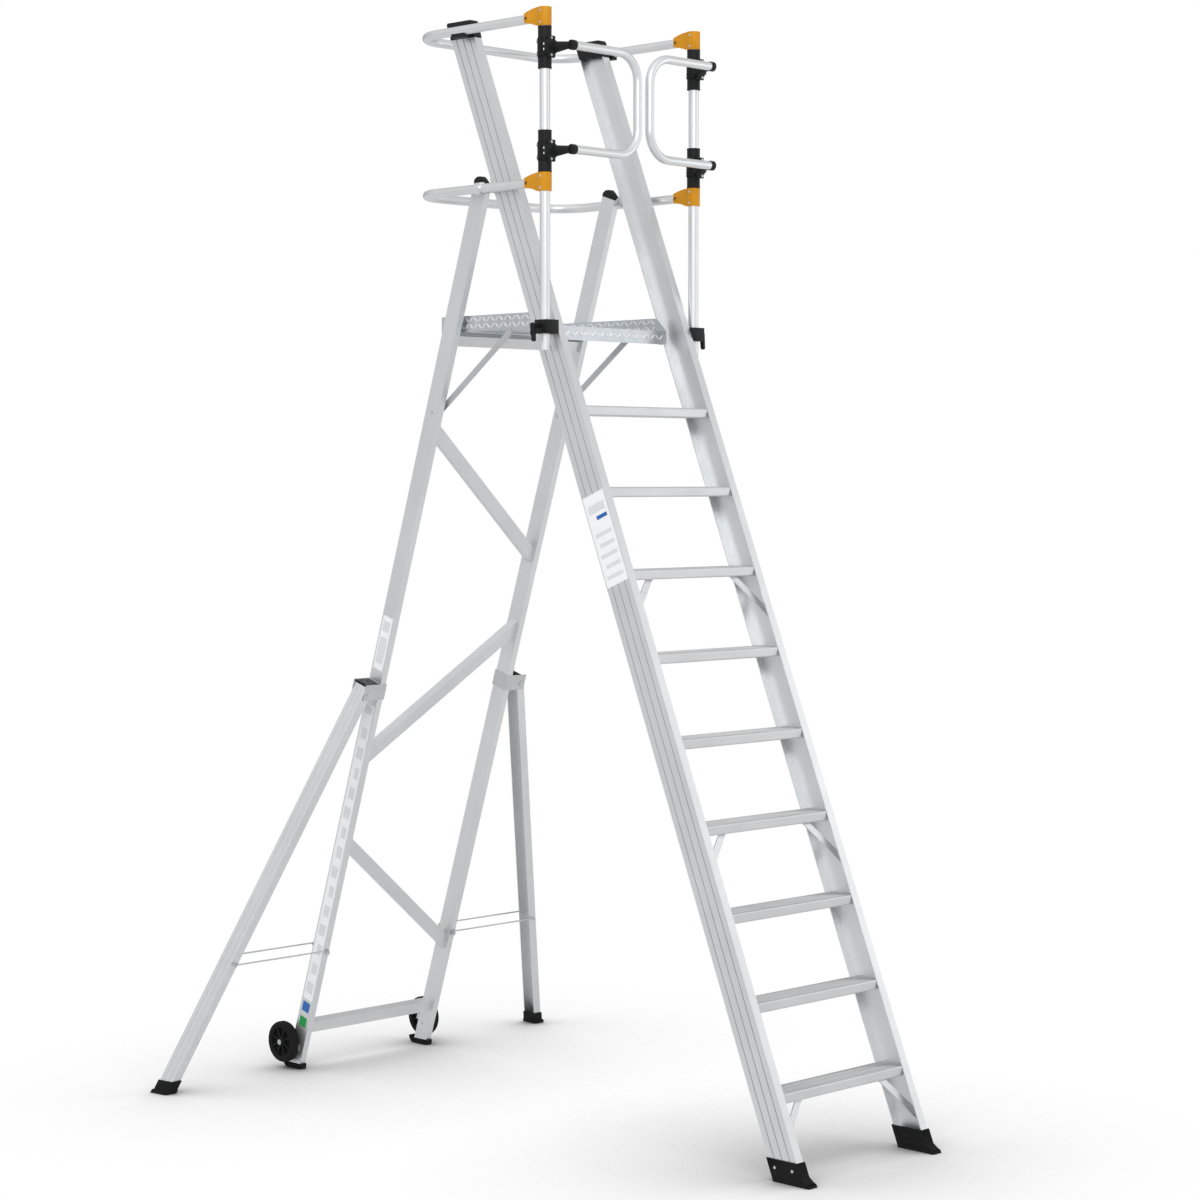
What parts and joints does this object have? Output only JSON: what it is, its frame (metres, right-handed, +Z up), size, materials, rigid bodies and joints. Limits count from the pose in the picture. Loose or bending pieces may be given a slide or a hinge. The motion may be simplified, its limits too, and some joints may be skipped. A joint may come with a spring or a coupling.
{
  "type": "mobile ladder stand",
  "caption": "Folding mobile platform ladder with a guard-railed platform, self-closing gates, side outriggers and transport wheels.",
  "frame": {"origin": "on the floor, at the middle of the footprint", "axes": "+Z up, +X to the climber's right, +Y from the climber's side towards the rear frame"},
  "size_m": [1.7524, 2.4234, 3.474],
  "materials": {
    "stile_aluminium": "satin",
    "tread_aluminium": "satin",
    "rail_aluminium": "satin",
    "deck_aluminium": "satin",
    "flat_bar": "satin",
    "steel_fittings": "satin",
    "stay_wire": "satin",
    "black_plastic": "matte",
    "amber_plastic": "satin",
    "black_rubber": "matte"
  },
  "bodies": {
    "front_frame": {"front_stile_left": "stile_aluminium", "front_stile_right": "stile_aluminium", "stile_caps": "black_plastic", "front_feet": "black_rubber", "foot_rivets": "steel_fittings", "tread_1": "tread_aluminium", "tread_2": "tread_aluminium", "tread_3": "tread_aluminium", "tread_4": "tread_aluminium", "tread_5": "tread_aluminium", "tread_6": "tread_aluminium", "tread_7": "tread_aluminium", "tread_8": "tread_aluminium", "tread_9": "tread_aluminium", "tread_braces": "tread_aluminium", "cross_tube": "rail_aluminium", "hinge_brackets": "steel_fittings", "hinge_pins": "steel_fittings"},
    "platform": {"platform": "deck_aluminium"},
    "rear_frame": {"rear_stile_left": "stile_aluminium", "rear_stile_right": "stile_aluminium", "rear_caps": "black_plastic", "rear_feet": "black_rubber", "rear_brace_upper": "stile_aluminium", "rear_brace_middle": "stile_aluminium", "rear_brace_lower": "stile_aluminium", "rear_bottom_bar": "stile_aluminium", "rear_cross_bar": "stile_aluminium", "hinge_tongues": "steel_fittings", "wheel_axles": "steel_fittings", "outrigger_brackets": "steel_fittings", "rear_pins": "steel_fittings"},
    "strut_left": {"strut_left": "flat_bar"},
    "wheel_left": {"wheel_left": "black_rubber"},
    "outrigger_left": {"outrigger_leg_left": "stile_aluminium", "outrigger_ends_left": "black_rubber"},
    "stay_left": {"stay_left": "stay_wire"},
    "strut_right": {"strut_right": "flat_bar"},
    "wheel_right": {"wheel_right": "black_rubber"},
    "outrigger_right": {"outrigger_leg_right": "stile_aluminium", "outrigger_ends_right": "black_rubber"},
    "stay_right": {"stay_right": "stay_wire"},
    "top_rail": {"top_rail": "rail_aluminium", "top_collars": "black_plastic"},
    "knee_rail": {"knee_rail": "rail_aluminium", "knee_collars": "rail_aluminium"},
    "left_post": {"post_left": "rail_aluminium", "connectors_left": "amber_plastic", "gate_sleeves_left": "black_plastic", "clamp_left": "black_plastic"},
    "lever_left": {"lever_left": "black_plastic"},
    "gate_left": {"gate_left": "rail_aluminium", "gate_hinges_left": "black_plastic"},
    "right_post": {"post_right": "rail_aluminium", "connectors_right": "amber_plastic", "gate_sleeves_right": "black_plastic", "clamp_right": "black_plastic"},
    "lever_right": {"lever_right": "black_plastic"},
    "gate_right": {"gate_right": "rail_aluminium", "gate_hinges_right": "black_plastic"}
  },
  "joints": [
    {"name": "rear_fold", "type": "hinge", "parent": "front_frame", "child": "rear_frame", "pos_m": [0, 0.1276, 2.935], "axis": [-1, 0, 0], "range_deg": [0, 32]},
    {"name": "platform_fold", "type": "hinge", "parent": "front_frame", "child": "platform", "pos_m": [0, -0.066, 2.48], "axis": [1, 0, 0], "range_deg": [0, 71]},
    {"name": "strut_left_fold", "type": "hinge", "parent": "rear_frame", "child": "strut_left", "pos_m": [-0.269, 0.392, 2.24], "axis": [-1, 0, 0], "range_deg": [0, 24]},
    {"name": "strut_right_fold", "type": "hinge", "parent": "rear_frame", "child": "strut_right", "pos_m": [0.269, 0.392, 2.24], "axis": [-1, 0, 0], "range_deg": [0, 24]},
    {"name": "outrigger_left_fold", "type": "hinge", "parent": "rear_frame", "child": "outrigger_left", "pos_m": [-0.348, 0.68886, 1.32718], "axis": [0, -0.9516, -0.3074], "range_deg": [0, 18]},
    {"name": "stay_left_swing", "type": "hinge", "parent": "outrigger_left", "child": "stay_left", "pos_m": [-0.68239, 0.97685, 0.43553], "axis": [0, -0.9516, -0.3074], "range_deg": [0, 72.5]},
    {"name": "wheel_left_spin", "type": "hinge", "parent": "rear_frame", "child": "wheel_left", "pos_m": [-0.322, 1.14138, 0.09208], "axis": [1, 0, 0], "continuous": true},
    {"name": "outrigger_right_fold", "type": "hinge", "parent": "rear_frame", "child": "outrigger_right", "pos_m": [0.348, 0.68886, 1.32718], "axis": [0, 0.9516, 0.3074], "range_deg": [0, 18]},
    {"name": "stay_right_swing", "type": "hinge", "parent": "outrigger_right", "child": "stay_right", "pos_m": [0.68239, 0.97685, 0.43553], "axis": [0, 0.9516, 0.3074], "range_deg": [0, 72.5]},
    {"name": "wheel_right_spin", "type": "hinge", "parent": "rear_frame", "child": "wheel_right", "pos_m": [0.322, 1.14138, 0.09208], "axis": [1, 0, 0], "continuous": true},
    {"name": "top_rail_fold", "type": "hinge", "parent": "front_frame", "child": "top_rail", "pos_m": [0, 0.232, 3.437], "axis": [1, 0, 0], "range_deg": [0, 18]},
    {"name": "knee_rail_fold", "type": "hinge", "parent": "front_frame", "child": "knee_rail", "pos_m": [0, 0.1276, 2.935], "axis": [1, 0, 0], "range_deg": [0, 28]},
    {"name": "left_post_tilt", "type": "hinge", "parent": "top_rail", "child": "left_post", "pos_m": [-0.335, -0.101, 3.437], "axis": [-1, 0, 0], "range_deg": [0, 16.5]},
    {"name": "lever_left_throw", "type": "hinge", "parent": "left_post", "child": "lever_left", "pos_m": [-0.38, -0.16, 2.496], "axis": [1, 0, 0], "range_deg": [0, 90]},
    {"name": "gate_left_swing", "type": "hinge", "parent": "left_post", "child": "gate_left", "pos_m": [-0.335, -0.165, 3.343], "axis": [0, 0, 1], "range_deg": [0, 90], "stiffness_Nm_per_rad": 1.5},
    {"name": "right_post_tilt", "type": "hinge", "parent": "top_rail", "child": "right_post", "pos_m": [0.335, -0.101, 3.437], "axis": [-1, 0, 0], "range_deg": [0, 16.5]},
    {"name": "lever_right_throw", "type": "hinge", "parent": "right_post", "child": "lever_right", "pos_m": [0.38, -0.16, 2.496], "axis": [1, 0, 0], "range_deg": [0, 90]},
    {"name": "gate_right_swing", "type": "hinge", "parent": "right_post", "child": "gate_right", "pos_m": [0.335, -0.165, 3.343], "axis": [0, 0, -1], "range_deg": [0, 90], "stiffness_Nm_per_rad": 1.5}
  ],
  "couplings": [
    {"joint": "platform_fold", "follows": "rear_fold", "ratio": 2.205},
    {"joint": "strut_left_fold", "follows": "rear_fold", "ratio": 0.72},
    {"joint": "strut_right_fold", "follows": "rear_fold", "ratio": 0.72},
    {"joint": "stay_left_swing", "follows": "outrigger_left_fold", "ratio": 4},
    {"joint": "stay_right_swing", "follows": "outrigger_right_fold", "ratio": 4},
    {"joint": "knee_rail_fold", "follows": "top_rail_fold", "ratio": 1.54},
    {"joint": "left_post_tilt", "follows": "top_rail_fold", "ratio": 0.9},
    {"joint": "right_post_tilt", "follows": "top_rail_fold", "ratio": 0.9}
  ]
}
